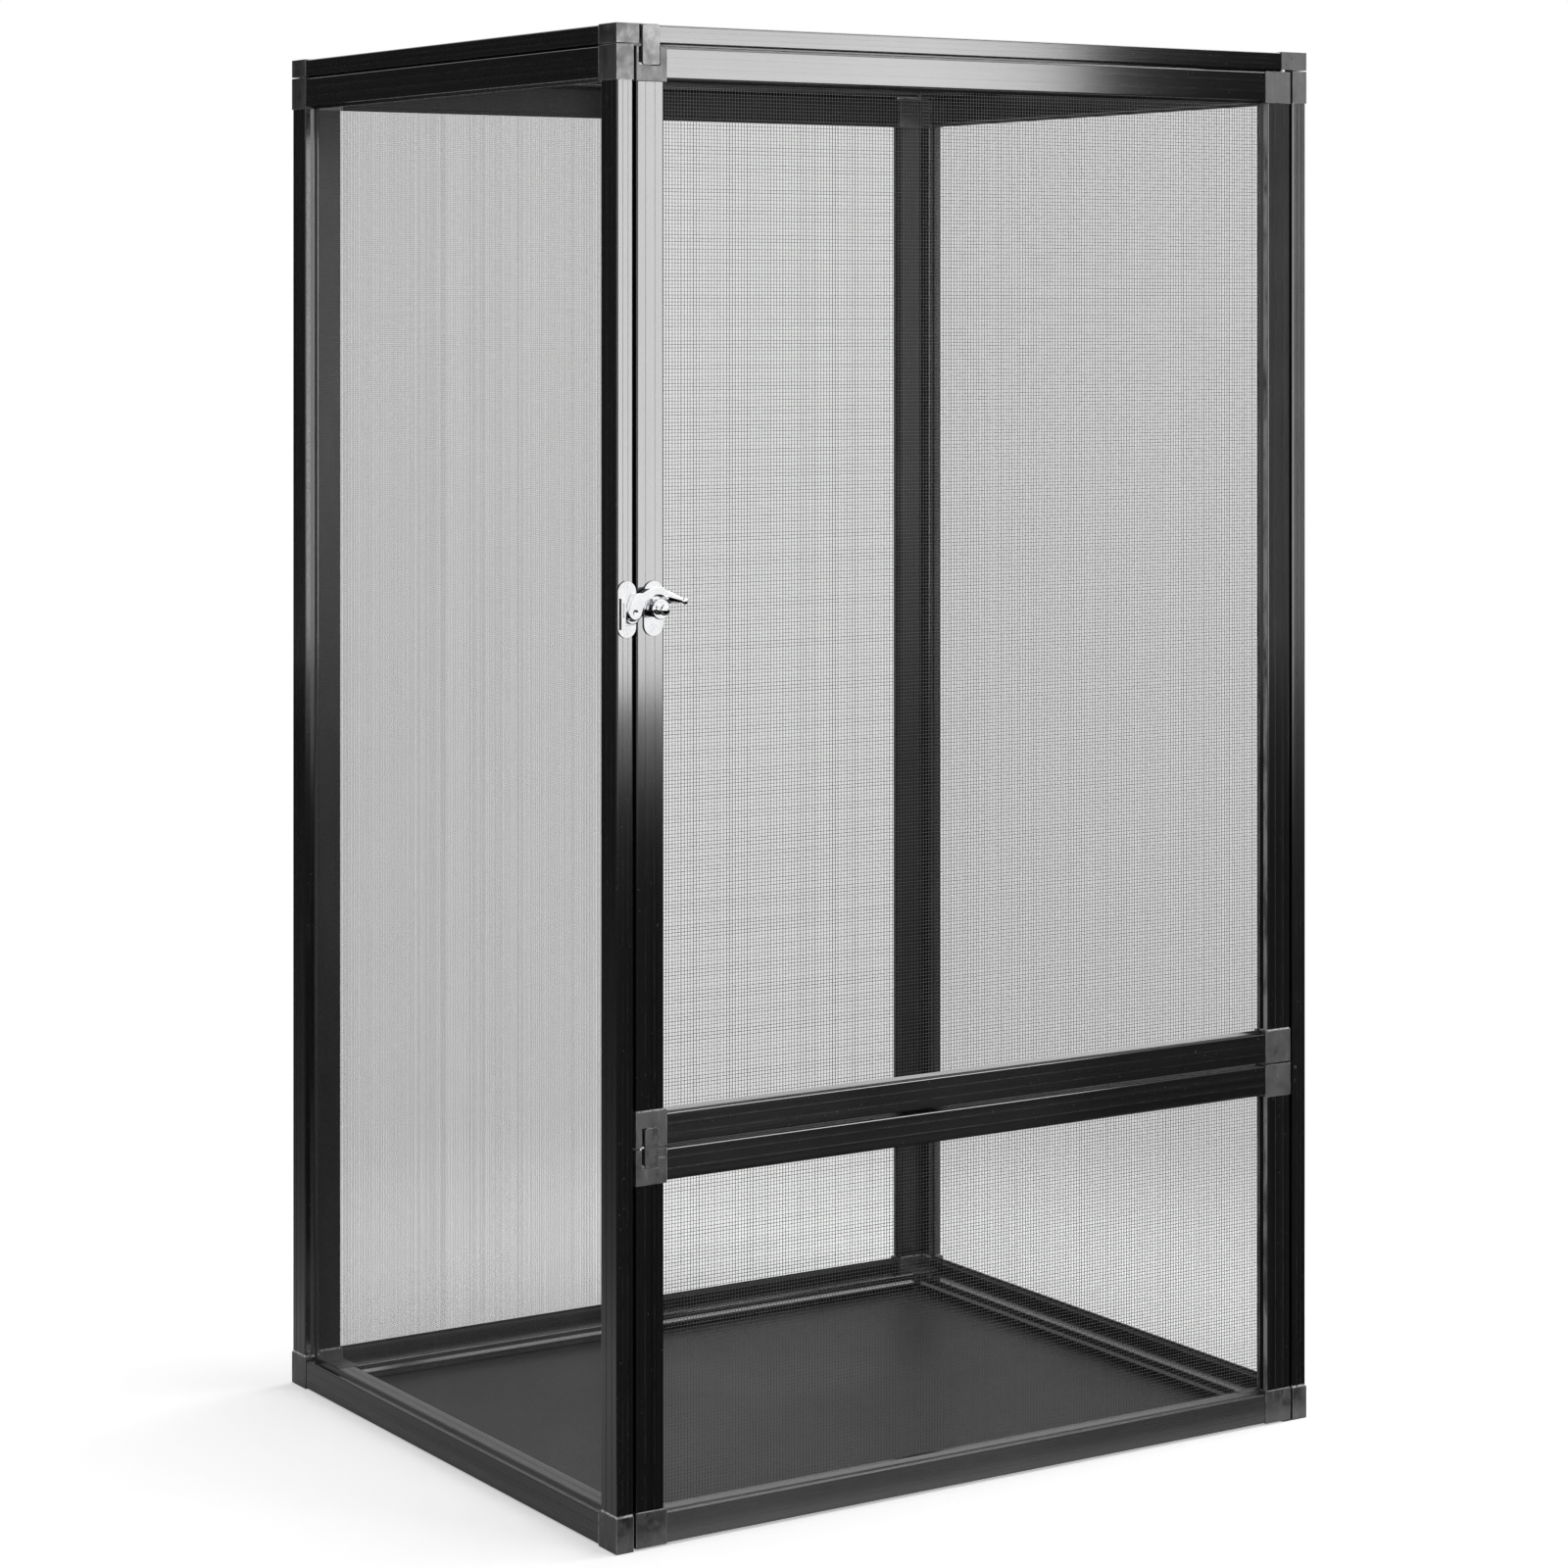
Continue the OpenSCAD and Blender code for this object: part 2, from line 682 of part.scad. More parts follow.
module lower_free_stile() { color(bar_black) on_lower_door() stile(lower_door_h); }
module lower_hinge_stile() { color(bar_black) on_lower_door() flip_x(door_w) stile(lower_door_h); }
module lower_top_rail() { color(bar_black) on_lower_door() flip_z(lower_door_h) rail(door_w); }
module lower_bottom_rail() { color(bar_black) on_lower_door() rail(door_w); }
module lower_catch_socket() {
    color(plastic_black) difference() {
        on_lower_door() flip_z(lower_door_h) connector();
        at_lower_catch() {
            catch_opening(lower_catch_w, mid_gap);
            translate([catch_gap + lower_catch_w, -over, -mid_gap - thumb_h])
                cube([thumb_w, over + thumb_d, mid_gap + thumb_h]);
        }
    }
}
module lower_corner_connector() { color(plastic_black) on_lower_door() connector(); }
module lower_hinge_connectors() {
    color(plastic_black) difference() {
        on_lower_door() flip_x(door_w) {
            connector();
            flip_z(lower_door_h) connector();
        }
        at_hinge(lower_door_z) hinge_bore();
        at_hinge(lower_door_z + lower_door_h) mirror([0, 0, 1]) hinge_bore();
    }
}
module lower_mesh() { color(net_grey) on_lower_door() net(door_w, lower_door_h); }
module lower_spline() { color(rubber_black) on_lower_door() spline(door_w, lower_door_h); }

// Hinges: one pin above the doors, a plate with two pins between them, one below

module hinge_plate(tail, front_y) {
    cylinder(r = hinge_eye_r, h = hinge_plate_t);
    translate([0, front_y - hinge_y, 0])
        cube([post_x - hinge_x + tail, plate_back_y - front_y, hinge_plate_t]);
}
module top_hinge_pin() {
    color(plain_steel) at_hinge(top_z - door_top_gap - hinge_pin_l)
        cylinder(r = hinge_pin_r, h = door_top_gap + 2 * hinge_pin_l);
}
module middle_hinge_plate() {
    color(plain_steel) difference() {
        union() {
            at_hinge(middle_plate_z) {
                hinge_plate(bar_wall + plate_tail, plate_front_y);
                translate([0, 0, -hinge_pin_l])
                    cylinder(r = hinge_pin_r, h = 2 * hinge_pin_l + hinge_plate_t);
            }
            translate([post_x + bar_wall + run_clear, plate_front_y, middle_plate_z - plate_flange_h])
                cube([plate_tail - run_clear, plate_flange_t, plate_flange_h + hinge_plate_t]);
        }
        at_hinge_screw() translate([0, 0, -hollow_u0 - plate_flange_t - over])
            cylinder(r = hinge_shank_r + fit_clear, h = plate_flange_t + hollow_u0 + over);
    }
}
module bottom_hinge_plate() {
    color(plain_steel) {
        at_hinge(0) {
            hinge_plate(anchor_tail, hinge_y - hinge_eye_r);
            cylinder(r = hinge_pin_r, h = hinge_plate_t + hinge_pin_l);
        }
        translate([post_x + anchor_in, hinge_y, 0])
            cylinder(r = hinge_pin_r, h = hinge_plate_t + anchor_l);
    }
}
module at_hinge_screw() {
    translate([post_x + hinge_screw_in, face_y, middle_plate_z - hinge_screw_drop]) rotate([90, 0, 0])
        children();
}
module hinge_screw() {
    color(plain_steel) at_hinge_screw() difference() {
        union() {
            cylinder(r = hinge_head_r, h = hinge_head_h);
            translate([0, 0, -small_shank_l]) cylinder(r = hinge_shank_r, h = small_shank_l + fit_clear);
        }
        translate([0, 0, hinge_head_h]) cross_recess(hinge_head_r);
    }
}

// Latch: a lever with a claw turns on a knob's stem and hooks behind the keeper

module latch_keeper() {
    bridge_low = hook_top - hook_h;
    color(bright_chrome) at_keeper() difference() {
        union() {
            linear_extrude(latch_plate_t) stadium(keeper_w, keeper_h);
            translate([-bridge_left, bridge_low, 0])
                cube([bridge_w, bridge_up - bridge_low, hook_h0 + hook_t]);
            translate([-bridge_left, bridge_low, hook_h0]) cube([bridge_w + hook_reach, hook_h, hook_t]);
        }
        translate([-bridge_left + (bridge_w - slit_w) / 2, -slit_share * bridge_up, latch_plate_t])
            cube([slit_w, 2 * slit_share * bridge_up, hook_h0 + over]);
        pair(keeper_screw_pitch) translate([0, 0, latch_plate_t]) small_screw_hole();
    }
}
module latch_keeper_screws() {
    color(bright_chrome) at_keeper() pair(keeper_screw_pitch) translate([0, 0, latch_plate_t]) small_screw();
}
module latch_base_plate() {
    color(bright_chrome) at_latch() difference() {
        linear_extrude(latch_plate_t) stadium(base_plate_w, base_plate_h);
        translate([0, 0, -over]) cylinder(r = spindle_r + fit_clear, h = latch_plate_t + 2 * over);
        pair(base_screw_pitch) translate([0, 0, latch_plate_t]) small_screw_hole();
    }
}
module latch_base_screws() {
    color(bright_chrome) at_latch() pair(base_screw_pitch) translate([0, 0, latch_plate_t]) small_screw();
}
module latch_knob() {
    flange_h1 = flange_h0 + flange_t;
    color(bright_chrome) at_latch() {
        translate([0, 0, -stem_l]) cylinder(r = spindle_r, h = stem_l + flange_h0 + fit_clear);
        translate([0, 0, flange_h0]) cylinder(r = flange_r, h = flange_t);
        translate([0, 0, flange_h1 - fit_clear]) cylinder(r = neck_r, h = knob_reach - flange_h1);
        translate([0, 0, knob_reach]) sphere(knob_ball_r);
    }
}
module latch_lever() {
    color(bright_chrome) at_latch() {
        difference() {
            translate([0, 0, lever_h0]) {
                cylinder(r = hub_r, h = hub_h - lever_h0);
                linear_extrude(lever_t) {
                    ring_sector(hub_r - spindle_r / 2, rim_mid, web_from, web_to);
                    translate(claw_jaw) circle(claw_r);
                    link(claw_jaw, claw_tip, claw_link_share * claw_w);
                }
                linear_extrude(rim_h - lever_h0) arm_outline();
            }
            cylinder(r = spindle_r + run_clear, h = hub_h + over);
            translate(concat(claw_tip, [rim_h - dimple_d])) cylinder(r = dimple_r, h = dimple_d + over);
        }
        lever_handle();
    }
}
module arm_outline() {
    ring_sector(rim_r0, rim_r1, rim_from, rim_to);
    for (p = [claw_tip, claw_elbow]) translate(p) circle(claw_r);
    link(claw_tip, claw_elbow, claw_link_share * claw_w);
    link(claw_elbow, claw_joint, claw_neck_share * claw_w);
}
// Flat bar between two points
module link(a, b, w) {
    along = b - a;
    translate(a) rotate(atan2(along[1], along[0])) translate([0, -w / 2]) square([norm(along), w]);
}
module ring_sector(r0, r1, from, to) {
    far = 2 * r1;
    intersection() {
        difference() {
            circle(r1);
            circle(r0);
        }
        polygon([[0, 0], far * [cos(from), sin(from)], [far, far], [-far, far], far * [cos(to), sin(to)]]);
    }
}
module lever_handle() {
    along = handle_end - handle_start;
    translate(handle_start) {
        rotate([0, acos(along[2] / norm(along)), atan2(along[1], along[0])])
            cylinder(r1 = handle_r0, r2 = handle_r1, h = norm(along));
        sphere(handle_r0);
    }
    translate(handle_end) sphere(handle_ball_r);
}

// Slide catches: a tab on a T-shaped foot that slides in the connector above the joint line

module catch(w, gap_below) {
    low = -gap_below - catch_down;
    translate([catch_gap, 0, 0]) {
        translate([0, catch_back, low]) rotate([90, 0, 0]) linear_extrude(catch_t)
            rounded_outline(w, catch_up - low, catch_corner_r);
        translate([0, 0, low + catch_corner_r]) cube([w, tail_l, catch_down - catch_corner_r]);
        catch_foot(w, 0, 0);
    }
}
module rounded_outline(w, h, r) {
    translate([r, 0]) square([w - 2 * r, h]);
    translate([0, r]) square([w, h - 2 * r]);
    for (x = [r, w - r], y = [r, h - r]) translate([x, y]) circle(r);
}
// The foot, or with a room around it and a stroke to its left, the space that it slides in
module catch_foot(w, room, stroke) {
    foot_w = w - 2 * neck_in + 2 * room + stroke;
    start = neck_in - room - stroke;
    translate([start, catch_back - fit_clear, (catch_up - neck_h) / 2 - room])
        cube([foot_w, neck_l + 2 * fit_clear, neck_h + 2 * room]);
    translate([start, catch_back + neck_l - room, (catch_up - head_h) / 2 - room])
        cube([foot_w, head_t + 2 * room, head_h + 2 * room]);
}
module catch_track(w, rise) {
    translate([0, -over, -over]) cube([catch_gap + w + catch_clear, over + notch_d, over + rise]);
    translate([0, -over, -over]) cube([catch_gap, over + gap_depth, over + rise]);
    translate([catch_gap, 0, 0]) catch_foot(w, catch_clear, catch_travel);
}
// Notch below the joint line: cut through behind the tab, with a ledge beside it that the tab slides over
module catch_opening(w, gap_below) {
    drop = gap_below + catch_down + catch_clear;
    translate([0, -over, -drop]) cube([catch_gap + w + catch_clear, over + gap_depth, drop]);
    translate([catch_gap - ledge_clear, -over, -drop])
        cube([w + ledge_clear + catch_clear, frame_t + 2 * over, drop]);
}
module upper_catch() { color(plastic_black) at_upper_catch() catch(upper_catch_w, door_top_gap); }
module lower_catch() { color(plastic_black) at_lower_catch() catch(lower_catch_w, mid_gap); }

left_front_stile();
left_back_stile();
left_rails();
left_connectors();
left_mesh();
left_spline();
right_front_stile();
right_back_stile();
right_rails();
right_connectors();
right_mesh();
right_spline();
back_stiles();
back_rails();
back_connectors();
back_mesh();
back_spline();
top_front_rail();
top_back_rail();
top_side_rails();
top_catch_connector();
top_connectors();
top_mesh();
top_spline();
top_screws();
floor_cross_bars();
floor_side_bars();
floor_connectors();
floor_board();
floor_screws();
upper_latch_stile();
upper_hinge_stile();
upper_top_rail();
upper_bottom_rail();
upper_catch_socket();
upper_catch_carrier();
upper_hinge_connectors();
upper_mesh();
upper_spline();
lower_free_stile();
lower_hinge_stile();
lower_top_rail();
lower_bottom_rail();
lower_catch_socket();
lower_corner_connector();
lower_hinge_connectors();
lower_mesh();
lower_spline();
top_hinge_pin();
middle_hinge_plate();
bottom_hinge_plate();
hinge_screw();
latch_keeper();
latch_keeper_screws();
latch_base_plate();
latch_base_screws();
latch_knob();
latch_lever();
upper_catch();
lower_catch();
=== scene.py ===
"""Dresses the mesh reptile cage: soft-edged connectors, woven wire, cast chrome latch, studio and camera."""
import json
import math
import random

import bmesh
import bpy
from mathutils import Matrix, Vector

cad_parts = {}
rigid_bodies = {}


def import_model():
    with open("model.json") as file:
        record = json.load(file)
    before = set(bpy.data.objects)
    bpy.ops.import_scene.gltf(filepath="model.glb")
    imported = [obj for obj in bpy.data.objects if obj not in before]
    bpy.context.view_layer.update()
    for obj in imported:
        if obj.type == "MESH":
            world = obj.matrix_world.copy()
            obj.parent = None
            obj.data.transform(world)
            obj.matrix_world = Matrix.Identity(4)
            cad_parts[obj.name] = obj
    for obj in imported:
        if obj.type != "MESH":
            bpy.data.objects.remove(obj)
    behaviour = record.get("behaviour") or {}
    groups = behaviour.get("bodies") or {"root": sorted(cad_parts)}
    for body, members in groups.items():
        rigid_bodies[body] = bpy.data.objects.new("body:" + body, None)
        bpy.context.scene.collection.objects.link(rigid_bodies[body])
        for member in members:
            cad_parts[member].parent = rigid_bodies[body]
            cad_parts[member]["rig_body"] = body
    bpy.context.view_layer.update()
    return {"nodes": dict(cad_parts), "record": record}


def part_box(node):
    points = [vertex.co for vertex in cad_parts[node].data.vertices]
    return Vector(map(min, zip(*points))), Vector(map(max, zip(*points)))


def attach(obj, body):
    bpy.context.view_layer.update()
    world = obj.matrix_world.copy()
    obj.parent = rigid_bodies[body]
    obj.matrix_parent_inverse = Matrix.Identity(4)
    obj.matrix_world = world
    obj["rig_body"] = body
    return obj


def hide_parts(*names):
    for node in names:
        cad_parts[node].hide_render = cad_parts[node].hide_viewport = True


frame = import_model()
nodes = frame["nodes"]
slot_of = {s["node"]: s["material_slot"] for s in frame["record"]["subparts"]}
scene = bpy.context.scene
MM = 0.001


# Node helpers


class Nodes:
    """A node tree, with short calls for the nodes used here."""

    # Places of the colour sockets on the Mix node
    COLOUR_A, COLOUR_B, COLOUR_OUT = 6, 7, 2

    def __init__(self, tree):
        self.nodes = tree.nodes
        self.links = tree.links

    def put(self, socket, value):
        if isinstance(value, bpy.types.NodeSocket):
            self.links.new(value, socket)
        else:
            socket.default_value = value

    def node(self, kind, inputs=None, **settings):
        made = self.nodes.new(kind)
        for key, value in settings.items():
            setattr(made, key, value)
        for key, value in (inputs or {}).items():
            self.put(made.inputs[key], value)
        return made

    def remap(self, value, low, high, to_low=0.0, to_high=1.0, **settings):
        made = self.node(
            "ShaderNodeMapRange",
            {"Value": value, "From Min": low, "From Max": high, "To Min": to_low, "To Max": to_high},
            **settings,
        )
        return made.outputs["Result"]

    def mix(self, factor, a, b):
        made = self.node("ShaderNodeMix", {"Factor": factor}, data_type="RGBA")
        self.put(made.inputs[self.COLOUR_A], a)
        self.put(made.inputs[self.COLOUR_B], b)
        return made.outputs[self.COLOUR_OUT]

    def maths(self, operation, a, b):
        return self.node("ShaderNodeMath", {0: a, 1: b}, operation=operation).outputs[0]

    def times(self, a, b):
        return self.maths("MULTIPLY", a, b)

    def white(self, strength):
        return self.node("ShaderNodeEmission", {"Color": grey(1.0), "Strength": strength}).outputs["Emission"]

    def rays(self):
        """Which rays come straight from the camera, and which by way of metal or glass."""
        path = self.node("ShaderNodeLightPath").outputs
        mirrored = self.maths("MAXIMUM", path["Is Glossy Ray"], path["Is Transmission Ray"])
        return path["Is Camera Ray"], mirrored


class Tree(Nodes):
    """A material's node tree, with its Principled shader."""

    FINE_SCALE = 1.0
    # How far the rounded normal has turned on flat ground and on a full edge
    FLAT_DOT, EDGE_DOT = 0.995, 0.8

    def __init__(self, name):
        self.material = bpy.data.materials.new(name)
        self.material.use_nodes = True
        super().__init__(self.material.node_tree)
        self.shader = self.nodes["Principled BSDF"]
        self.surface = self.nodes["Material Output"].inputs["Surface"]
        self.coords = self.node("ShaderNodeTexCoord").outputs

    def set(self, **values):
        for key, value in values.items():
            self.put(self.shader.inputs[key.replace("_", " ")], value)

    def noise(self, scale, detail=3.0, rough=0.55):
        """Noise over object coordinates, with one scale for all axes or one for each."""
        scales = (scale, scale, scale) if isinstance(scale, float) else scale
        spread = self.node("ShaderNodeMapping", {"Vector": self.coords["Object"], "Scale": scales})
        inputs = {"Vector": spread.outputs["Vector"], "Scale": self.FINE_SCALE, "Detail": detail,
                  "Roughness": rough}
        return self.node("ShaderNodeTexNoise", inputs).outputs["Fac"]

    def bump(self, height, strength, distance, below=None):
        inputs = {"Height": height, "Strength": strength, "Distance": distance}
        if below is not None:
            inputs["Normal"] = below
        return self.node("ShaderNodeBump", inputs).outputs["Normal"]

    def along(self, vector, axis):
        return self.node("ShaderNodeSeparateXYZ", {"Vector": vector}).outputs[axis.upper()]

    def reach(self):
        """Distance from the object's origin."""
        made = self.node("ShaderNodeVectorMath", {0: self.coords["Object"]}, operation="LENGTH")
        return made.outputs["Value"]

    def edges(self, radius):
        """About 1 where two faces meet within the radius, and 0 on flat ground."""
        round_normal = self.node("ShaderNodeBevel", {"Radius": radius}, samples=4).outputs["Normal"]
        true_normal = self.node("ShaderNodeNewGeometry").outputs["Normal"]
        dot = self.node("ShaderNodeVectorMath", {0: round_normal, 1: true_normal}, operation="DOT_PRODUCT")
        return self.remap(dot.outputs["Value"], self.FLAT_DOT, self.EDGE_DOT)

    def cut_end(self, axis, share, breaks):
        """About 1 on the first share of a bar's length, broken up by a noise."""
        near = self.remap(self.along(self.coords["Generated"], axis), share, share * 0.5)
        return self.times(near, self.remap(breaks, 0.35, 0.5, 0.3, 1.0))

    def blend(self, factor, a, b):
        """Shows a blend of two shaders in place of the Principled one."""
        both = self.node("ShaderNodeMixShader", {0: factor, 1: a, 2: b})
        self.put(self.surface, both.outputs["Shader"])


def grey(value, blue=1.0):
    return (value, value, value * blue, 1.0)


# Materials

BAR_DARK, BAR_LIGHT = 0.006, 0.01
NICK_GREY = 0.1
EDGE_WEAR_AND_HIGHLIGHT_GREY = 0.08
LIP_HIGHLIGHT_GREY = 0.34
CUT_END_GREY = 0.6
# Painted shade in crevices: its grey, and how far it reaches
PAINTED_CREVICE_SHADE_GREY = 0.002
CUT_END_SHARE = {"y": 0.003, "z": 0.0018}
BAR_EDGE = 0.7 * MM
CREVICE_SHADE_REACH = 6.0 * MM


def bar_material(name, axis, dust=0.0, rough=0.13, gloss=1.0, painted_lip_highlight=False):
    """Black anodised bar, drawn along one axis: die lines, uneven sheen, pale edges that are partly wear and
    partly painted highlight, painted shade in joints and crevices, and on request a painted highlight on lips
    turned to -x.
    """
    t = Tree(name)
    run = [1.0 if a == axis else 0.0 for a in "xyz"]
    lines = t.noise([3.0 if a else 2600.0 for a in run], detail=2.0)
    bands = t.noise([1.5 if a else 420.0 for a in run], detail=2.0)
    cloud = t.noise(7.0, detail=4.0)
    nicks = t.noise(420.0, detail=1.0)
    # Pale edges: partly wear, partly painted highlight where the rounded edges catch light
    worn_and_lit_edges = t.times(t.edges(BAR_EDGE), t.remap(t.noise(60.0), 0.3, 0.65, 0.2, 1.0))
    # Painted shade: ambient occlusion darkens colour and reflection in joints and crevices, where shade falls
    crevice_shade_ao = t.node("ShaderNodeAmbientOcclusion", {"Distance": CREVICE_SHADE_REACH}, samples=6).outputs["AO"]
    outside_crevice_shade = t.remap(crevice_shade_ao, 0.25, 0.6)
    tone = t.mix(t.remap(bands, 0.35, 0.65), grey(BAR_DARK + dust), grey(BAR_LIGHT + dust, 1.05))
    tone = t.mix(t.remap(nicks, 0.735, 0.77, 0.0, 0.4), tone, grey(NICK_GREY))
    tone = t.mix(t.times(worn_and_lit_edges, 0.6), tone, grey(EDGE_WEAR_AND_HIGHLIGHT_GREY))
    # Painted highlight: faces turned towards -x are painted pale in patches, where the lip would catch light
    if painted_lip_highlight:
        lip_facing_left = t.remap(t.along(t.coords["Normal"], "x"), -0.8, -0.95)
        patches = t.remap(t.noise((90.0, 90.0, 30.0)), 0.35, 0.55, 0.25, 1.0)
        tone = t.mix(t.times(lip_facing_left, patches), tone, grey(LIP_HIGHLIGHT_GREY))
    if axis in CUT_END_SHARE:
        tone = t.mix(t.cut_end(axis, CUT_END_SHARE[axis], nicks), tone, grey(CUT_END_GREY))
    t.set(Base_Color=t.mix(outside_crevice_shade, grey(PAINTED_CREVICE_SHADE_GREY), tone))
    uneven = t.remap(cloud, 0.3, 0.7, rough - 0.01, rough + 0.02)
    t.set(Roughness=t.maths("ADD", uneven, t.remap(lines, 0.3, 0.7, -0.02, 0.02)))
    drawn = t.node("ShaderNodeCombineXYZ", dict(zip("XYZ", run))).outputs["Vector"]
    t.set(Anisotropic=0.8, Anisotropic_Rotation=0.25, Tangent=drawn)
    t.set(Specular_IOR_Level=t.times(outside_crevice_shade, t.remap(worn_and_lit_edges, 0.0, 1.0, 0.9 * gloss, gloss)))
    t.set(Normal=t.bump(lines, 0.1, 0.05 * MM, t.bump(bands, 0.08, 0.1 * MM)))
    return t.material


PLASTIC_EDGE = 0.8 * MM
PLASTIC_EDGE_WEAR_AND_HIGHLIGHT_GREY = 0.5


def plastic_material(name, dark, light, rough):
    """Moulded plastic: mottled grey, fine grain, flow marks, scuffs, and pale edges that are partly rubbed
    wear and partly painted highlight.
    """
    t = Tree(name)
    mottle = t.noise(90.0, detail=5.0, rough=0.65)
    flow = t.noise((35.0, 35.0, 14.0))
    scuff = t.noise((240.0, 240.0, 70.0), detail=4.0, rough=0.7)
    grain = t.noise(2400.0, detail=2.0)
    tone = t.mix(t.remap(mottle, 0.36, 0.64), grey(dark), grey(light))
    tone = t.mix(t.times(t.remap(flow, 0.42, 0.66), 0.6), tone, grey(light * 2.2))
    tone = t.mix(t.remap(scuff, 0.57, 0.7, 0.0, 0.55), tone, grey(light * 5.0))
    # Pale edges: partly rubbed wear, partly painted highlight along the rims
    rubbed_and_lit_edges = t.times(t.edges(PLASTIC_EDGE), t.remap(t.noise(150.0), 0.3, 0.6))
    t.set(Base_Color=t.mix(t.times(rubbed_and_lit_edges, 0.75), tone, grey(PLASTIC_EDGE_WEAR_AND_HIGHLIGHT_GREY)))
    t.set(Roughness=t.remap(mottle, 0.3, 0.7, rough - 0.12, rough + 0.14), Specular_IOR_Level=1.0)
    t.set(Normal=t.bump(grain, 0.22, 0.06 * MM, t.bump(mottle, 0.12, 0.15 * MM)))
    return t.material


def mesh_material(name, dark, light, glow=0.0):
    """Wire: fine rubs on the crowns, a little dust, and light passed on from behind when glow is set."""
    t = Tree(name)
    dust = t.noise(14.0, detail=4.0)
    rub = t.noise(700.0, detail=2.0)
    tone = t.mix(t.remap(rub, 0.4, 0.65), grey(dark), grey(light, 1.02))
    t.set(Base_Color=t.mix(t.times(t.remap(dust, 0.45, 0.75), 0.4), tone, grey(light * 1.6)))
    t.set(Roughness=t.remap(rub, 0.3, 0.7, 0.38, 0.55))
    t.set(Normal=t.bump(rub, 0.15, 0.03 * MM))
    if glow:
        passed = t.node("ShaderNodeBsdfTranslucent", {"Color": grey(light)}).outputs["BSDF"]
        t.blend(glow, t.shader.outputs["BSDF"], passed)
    return t.material


def rubber_material():
    """Spline rubber: matt black with a faint bloom."""
    t = Tree("spline_rubber")
    fine = t.noise(900.0, detail=2.0)
    bloom = t.noise(25.0, detail=4.0)
    t.set(Base_Color=t.mix(t.remap(bloom, 0.4, 0.7), grey(0.01), grey(0.028)))
    t.set(Roughness=t.remap(bloom, 0.3, 0.7, 0.62, 0.78))
    t.set(Normal=t.bump(fine, 0.3, 0.08 * MM))
    return t.material


def board_material():
    """Extruded board: black, leathery grain, scuffs."""
    t = Tree("floor_board")
    grain = t.noise(1100.0)
    scuff = t.noise((60.0, 9.0, 9.0), detail=6.0, rough=0.7)
    cloud = t.noise(5.0, detail=4.0)
    tone = t.mix(t.remap(cloud, 0.35, 0.65), grey(0.009), grey(0.015))
    t.set(Base_Color=t.mix(t.remap(scuff, 0.62, 0.78, 0.0, 0.4), tone, grey(0.035)))
    t.set(Roughness=t.remap(cloud, 0.3, 0.7, 0.45, 0.6))
    t.set(Normal=t.bump(grain, 0.25, 0.1 * MM))
    return t.material


def chrome_material():
    """Plated casting: bright, faintly wavy, with soft polishing marks."""
    t = Tree("latch_chrome")
    wave = t.noise(160.0, detail=2.0)
    marks = t.noise((900.0, 2600.0, 2600.0), detail=2.0)
    t.set(Base_Color=t.mix(t.remap(wave, 0.3, 0.7), (0.86, 0.87, 0.89, 1.0), (0.94, 0.945, 0.95, 1.0)))
    t.set(Roughness=t.remap(marks, 0.3, 0.7, 0.07, 0.16), Metallic=1.0)
    t.set(Normal=t.bump(marks, 0.04, 0.02 * MM, t.bump(wave, 0.1, 0.2 * MM)))
    return t.material


def steel_material(name, dark, light):
    """Plated steel: brushed, slightly clouded."""
    t = Tree(name)
    marks = t.noise((2200.0, 2200.0, 300.0), detail=2.0)
    cloud = t.noise(120.0)
    t.set(Base_Color=t.mix(t.remap(cloud, 0.35, 0.65), grey(dark, 1.05), grey(light, 1.03)))
    t.set(Roughness=t.remap(marks, 0.3, 0.7, 0.25, 0.42), Metallic=1.0)
    t.set(Normal=t.bump(marks, 0.1, 0.03 * MM))
    return t.material


bar_finish = {axis: bar_material("anodised_bar_" + axis, axis) for axis in "xyz"}
# The hinge stiles carry the painted lip highlight
bare_lip_bar = bar_material("bare_lip_bar", "z", gloss=0.6, painted_lip_highlight=True)
own_bar_finish = {
    "lower_bottom_rail": bar_material("dusty_bar", "x", dust=0.012, rough=0.26),
    "right_front_stile": bar_material("soft_sheen_bar", "z", rough=0.17),
    "upper_hinge_stile": bare_lip_bar,
    "lower_hinge_stile": bare_lip_bar,
    # Painted shade: the back rails and stiles get a far less glossy copy of the bar finish, so they read
    # darker
    "back_rails": bar_material("dull_bar_x", "x", rough=0.3, gloss=0.12),
    "back_stiles": bar_material("dull_bar_z", "z", rough=0.3, gloss=0.4),
}
finish = {
    "connector_plastic": plastic_material("connector_plastic", 0.012, 0.03, rough=0.38),
    "catch_plastic": plastic_material("catch_plastic", 0.022, 0.038, rough=0.28),
    "mesh": mesh_material("woven_wire", 0.03, 0.06),
    "spline_rubber": rubber_material(),
    "floor_board": board_material(),
    "latch_chrome": chrome_material(),
    "hardware_steel": steel_material("hardware_steel", 0.42, 0.6),
}
black_zinc = steel_material("black_zinc", 0.03, 0.06)
own_finish = {
    # Top net: the wire is painted pale, a painted stand-in for the light its underside catches; the
    # translucent share passes light on from above
    "top_mesh": mesh_material("bare_wire", 0.7, 0.85, glow=0.5),
    "middle_hinge_plate": black_zinc,
    "bottom_hinge_plate": black_zinc,
    "hinge_screw": steel_material("dull_zinc", 0.09, 0.15),
}


# Geometry helpers

